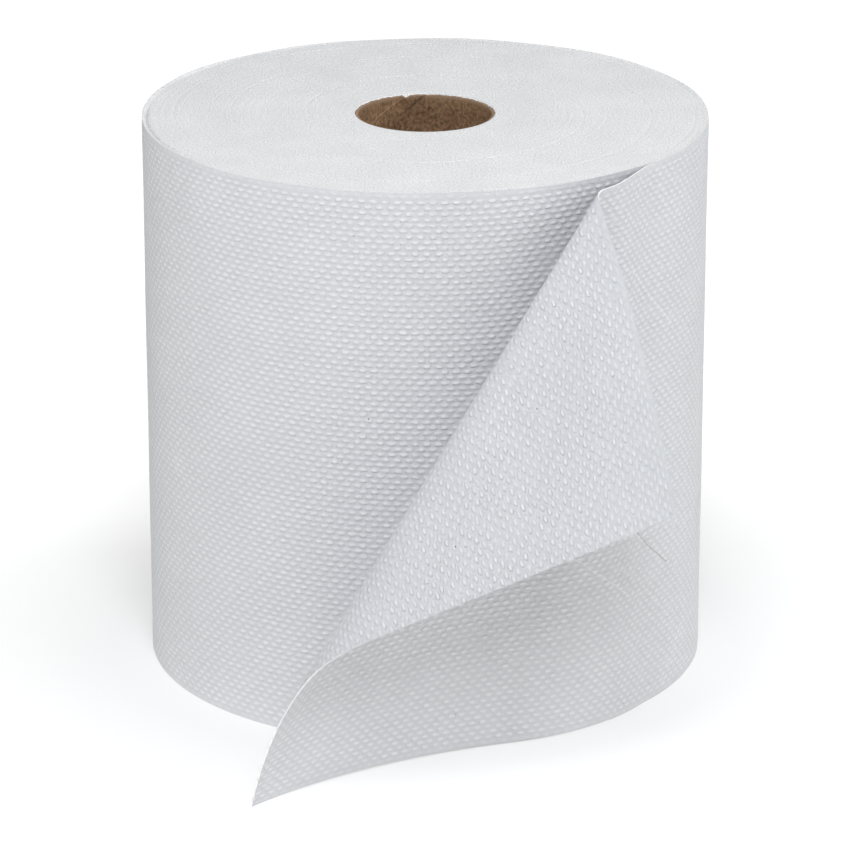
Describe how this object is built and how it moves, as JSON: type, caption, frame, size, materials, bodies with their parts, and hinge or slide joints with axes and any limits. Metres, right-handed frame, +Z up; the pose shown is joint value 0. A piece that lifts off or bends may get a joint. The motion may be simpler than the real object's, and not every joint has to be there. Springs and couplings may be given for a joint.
{
  "type": "paper towel roll",
  "caption": "Hard-wound roll of white embossed paper towel on a kraft core, standing on its end, with a loose tail whose upper corner rolls over towards the front.",
  "frame": {"origin": "on the roll's axis, in the plane of the lower end face", "axes": "+Z up along the roll's axis, -Y towards the viewer, where the loose tail stands, +X to the viewer's right"},
  "size_m": [0.2006, 0.2691, 0.2002],
  "materials": {
    "paper": "matt white embossed tissue",
    "core_board": "matt brown kraft board"
  },
  "bodies": {
    "root": {"towel_paper": "paper", "core_tube": "core_board"}
  },
  "joints": []
}
